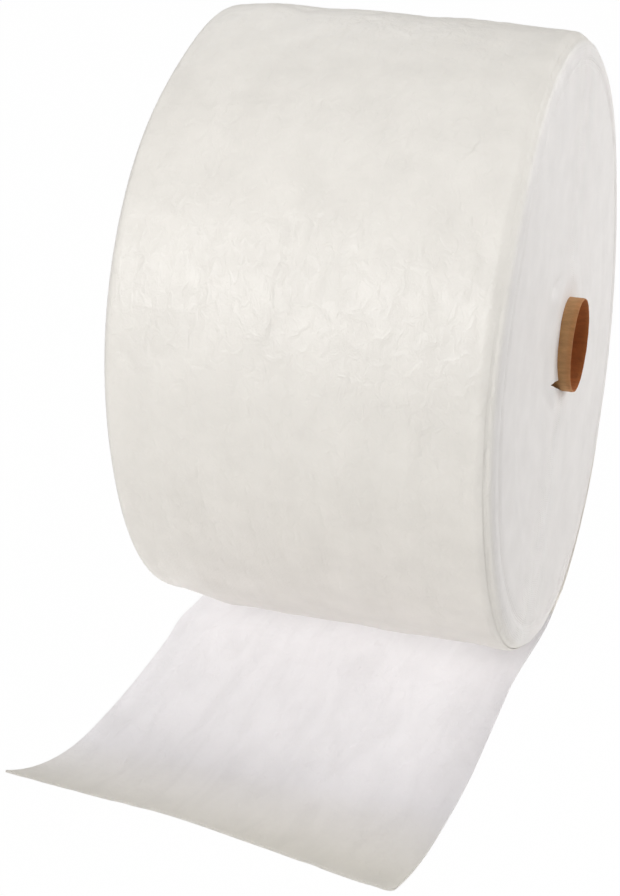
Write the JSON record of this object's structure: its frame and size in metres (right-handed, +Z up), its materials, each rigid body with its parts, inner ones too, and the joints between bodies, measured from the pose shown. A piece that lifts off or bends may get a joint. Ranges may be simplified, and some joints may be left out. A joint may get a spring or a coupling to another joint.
{
  "type": "foam wrap roll",
  "caption": "Roll of thin white foam packing wrap on a paper core, lying on its side with its free end pulled out over the floor and curling up at the cut.",
  "frame": {"origin": "point of the floor straight below the middle of the core's axis", "axes": "+X along the core, +Y away from the free end along the floor, +Z up"},
  "size_m": [0.333, 0.7606, 0.521],
  "materials": {
    "foam": "soft satin skin of expanded polyethylene foam",
    "core_board": "spirally wound brown paperboard"
  },
  "bodies": {
    "root": {"foam_wrap": "foam", "core_tube": "core_board"}
  },
  "joints": []
}
